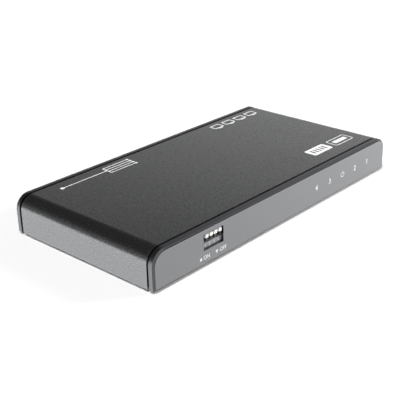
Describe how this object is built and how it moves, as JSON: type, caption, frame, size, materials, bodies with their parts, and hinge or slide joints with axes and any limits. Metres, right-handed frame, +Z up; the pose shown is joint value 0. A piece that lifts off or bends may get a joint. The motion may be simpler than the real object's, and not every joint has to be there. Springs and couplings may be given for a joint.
{
  "type": "hdmi splitter",
  "caption": "Slim dark grey metal box with a lacquered bezel at each end, a slide switch and lamp legend in front, and a row of video sockets with a power jack behind.",
  "frame": {"origin": "centre of the box's footprint, on the surface under the feet", "axes": "+X along the front to the right as seen from the front, +Y from the front to the sockets, +Z up"},
  "size_m": [0.156, 0.0804, 0.0172],
  "materials": {
    "cover_metal": "bead-blasted and dark anodised extrusion, satin: it mirrors its dark surroundings softly",
    "base_coat": "black powder coat on sheet steel, fine orange peel",
    "bezel_lacquer": "dark metallic lacquer on moulded ABS, satin; darker where it is thin, on the rim and in the seam",
    "panel_metal": "dark anodised sheet, smooth satin",
    "foot_rubber": "matt black rubber",
    "board_green": "glass-fibre board under green solder mask",
    "plug_nickel": "nickel-plated pressed steel",
    "black_moulding": "black glass-filled nylon or moulded epoxy",
    "switch_plastic": "grey thermoplastic, fine texture, lighter under its slots",
    "slider_white": "white acetal",
    "contact_gold": "gold-plated phosphor bronze",
    "tinned_metal": "tin-plated",
    "nickel_brass": "nickel-plated brass",
    "screw_steel": "zinc-plated steel",
    "screw_black": "black-oxide steel",
    "guide_clear": "clear moulded acrylic",
    "lamp_chip": "yellow phosphor in a white lamp chip, unlit",
    "white_moulding": "white nylon",
    "sink_aluminium": "black anodised extrusion",
    "pad_grey": "soft grey silicone pad",
    "ferrite_grey": "moulded ferrite, matt",
    "can_aluminium": "bare drawn aluminium"
  },
  "bodies": {
    "case": {"base_plate": "base_coat", "board_screws": "screw_steel", "board_standoffs": "nickel_brass", "capacitors": "can_aluminium", "case_screws": "screw_black", "chip_leads": "tinned_metal", "clock_crystal": "tinned_metal", "control_chip": "black_moulding", "foot_front_left": "foot_rubber", "foot_front_right": "foot_rubber", "foot_rear_left": "foot_rubber", "foot_rear_right": "foot_rubber", "front_bezel": "bezel_lacquer", "front_panel": "panel_metal", "guide_holder": "white_moulding", "heat_sink": "sink_aluminium", "lamps": "lamp_chip", "light_guide_1": "guide_clear", "light_guide_2": "guide_clear", "light_guide_3": "guide_clear", "light_guide_4": "guide_clear", "light_guide_power": "guide_clear", "main_board": "board_green", "power_inductors": "ferrite_grey", "power_jack_housing": "black_moulding", "power_jack_pin": "nickel_brass", "power_jack_spring": "nickel_brass", "power_jack_terminals": "tinned_metal", "rear_bezel": "bezel_lacquer", "rear_panel": "panel_metal", "regulator_chips": "black_moulding", "splitter_chip": "black_moulding", "switch_base": "switch_plastic", "switch_housing": "switch_plastic", "switch_terminals": "tinned_metal", "thermal_pad": "pad_grey", "top_cover": "cover_metal", "video_in_contacts": "contact_gold", "video_in_insulator": "black_moulding", "video_in_shell": "plug_nickel", "video_out_1_contacts": "contact_gold", "video_out_1_insulator": "black_moulding", "video_out_1_shell": "plug_nickel", "video_out_2_contacts": "contact_gold", "video_out_2_insulator": "black_moulding", "video_out_2_shell": "plug_nickel", "video_out_3_contacts": "contact_gold", "video_out_3_insulator": "black_moulding", "video_out_3_shell": "plug_nickel", "video_out_4_contacts": "contact_gold", "video_out_4_insulator": "black_moulding", "video_out_4_shell": "plug_nickel"},
    "slider_1": {"switch_slider_1": "slider_white"},
    "slider_2": {"switch_slider_2": "slider_white"},
    "slider_3": {"switch_slider_3": "slider_white"},
    "slider_4": {"switch_slider_4": "slider_white"}
  },
  "joints": [
    {"name": "slider_1_slide", "type": "slide", "parent": "case", "child": "slider_1", "axis": [0, 0, 1], "range_m": [-0.0018, 0]},
    {"name": "slider_2_slide", "type": "slide", "parent": "case", "child": "slider_2", "axis": [0, 0, 1], "range_m": [-0.0018, 0]},
    {"name": "slider_3_slide", "type": "slide", "parent": "case", "child": "slider_3", "axis": [0, 0, 1], "range_m": [-0.0018, 0]},
    {"name": "slider_4_slide", "type": "slide", "parent": "case", "child": "slider_4", "axis": [0, 0, 1], "range_m": [-0.0018, 0]}
  ]
}
